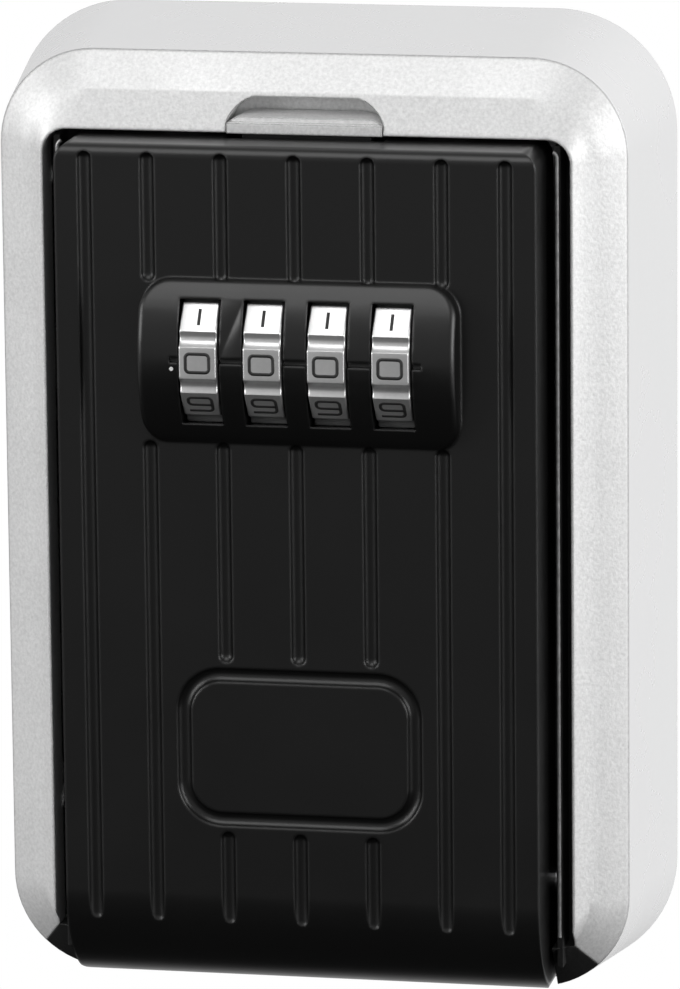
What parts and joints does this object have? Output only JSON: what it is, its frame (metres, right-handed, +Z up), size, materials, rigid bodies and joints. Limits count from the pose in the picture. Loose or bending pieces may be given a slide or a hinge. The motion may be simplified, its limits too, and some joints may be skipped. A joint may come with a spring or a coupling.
{
  "type": "lockable key box",
  "caption": "Wall-mounted key box with a drop-down door, four combination wheels, a release tab and a hidden key compartment.",
  "frame": {"origin": "middle of the flat back face that lies on the wall", "axes": "+Y into the wall, +Z up, +X to the right seen from the front"},
  "size_m": [0.0868, 0.0383, 0.1268],
  "materials": {
    "silver_case": "smooth silver paint",
    "silver_frame": "fine-grained silver paint",
    "silver_tab": "fine-grained silver paint",
    "black_tab": "black moulded core",
    "black_liner": "matt black",
    "black_door": "satin black paint",
    "steel": "zinc-plated steel",
    "screw_steel": "plated screws",
    "cover_metal": "black sheet metal",
    "spring_steel": "spring steel",
    "zinc": "die-cast, bare",
    "lever_plastic": "grey plastic",
    "wheel_chrome": "bright plated",
    "brass_sleeve": "turned brass"
  },
  "bodies": {
    "case": {"case_shell": "silver_case", "front_frame": "silver_frame", "inner_liner": "black_liner", "keeper_left": "steel", "keeper_right": "steel", "keeper_screws": "screw_steel", "liner_screws": "screw_steel", "frame_screws": "screw_steel", "hinge_pins": "steel"},
    "door": {"door_shell": "black_door", "lock_cover": "cover_metal", "cover_screws": "screw_steel", "spindle": "steel", "spindle_clips": "spring_steel", "bracket_left": "zinc", "bracket_right": "zinc", "click_leaf": "spring_steel", "leaf_rivets": "steel", "clutch_spring": "spring_steel", "tab_springs": "spring_steel", "latch_springs": "spring_steel"},
    "latch": {"latch_plate": "steel", "locking_comb": "zinc", "comb_rivets": "steel"},
    "tab": {"release_tab": "black_tab", "tab_cap": "silver_tab"},
    "lever": {"code_lever": "lever_plastic"},
    "dial_1": {"dial_wheel_1": "wheel_chrome", "dial_sleeve_1": "brass_sleeve"},
    "dial_2": {"dial_wheel_2": "wheel_chrome", "dial_sleeve_2": "brass_sleeve"},
    "dial_3": {"dial_wheel_3": "wheel_chrome", "dial_sleeve_3": "brass_sleeve"},
    "dial_4": {"dial_wheel_4": "wheel_chrome", "dial_sleeve_4": "brass_sleeve"}
  },
  "joints": [
    {"name": "door_hinge", "type": "hinge", "parent": "case", "child": "door", "pos_m": [0, -0.01906, -0.04655], "axis": [1, 0, 0], "range_deg": [0, 100]},
    {"name": "latch_slide", "type": "slide", "parent": "door", "child": "latch", "axis": [0, 0, 1], "range_m": [0, 0.0024], "deforming": ["latch_springs"]},
    {"name": "tab_press", "type": "slide", "parent": "door", "child": "tab", "axis": [0, 0, 1], "range_m": [-0.0024, 0], "stiffness_N_per_m": 400, "springref_m": 0.002, "deforming": ["tab_springs"]},
    {"name": "code_shift", "type": "slide", "parent": "door", "child": "lever", "axis": [1, 0, 0], "range_m": [-0.0025, 0]},
    {"name": "dial_1_turn", "type": "hinge", "parent": "door", "child": "dial_1", "pos_m": [0, -0.0288, 0.0236], "axis": [1, 0, 0], "continuous": true},
    {"name": "dial_2_turn", "type": "hinge", "parent": "door", "child": "dial_2", "pos_m": [0, -0.0288, 0.0236], "axis": [1, 0, 0], "continuous": true},
    {"name": "dial_3_turn", "type": "hinge", "parent": "door", "child": "dial_3", "pos_m": [0, -0.0288, 0.0236], "axis": [1, 0, 0], "continuous": true},
    {"name": "dial_4_turn", "type": "hinge", "parent": "door", "child": "dial_4", "pos_m": [0, -0.0288, 0.0236], "axis": [1, 0, 0], "continuous": true}
  ]
}
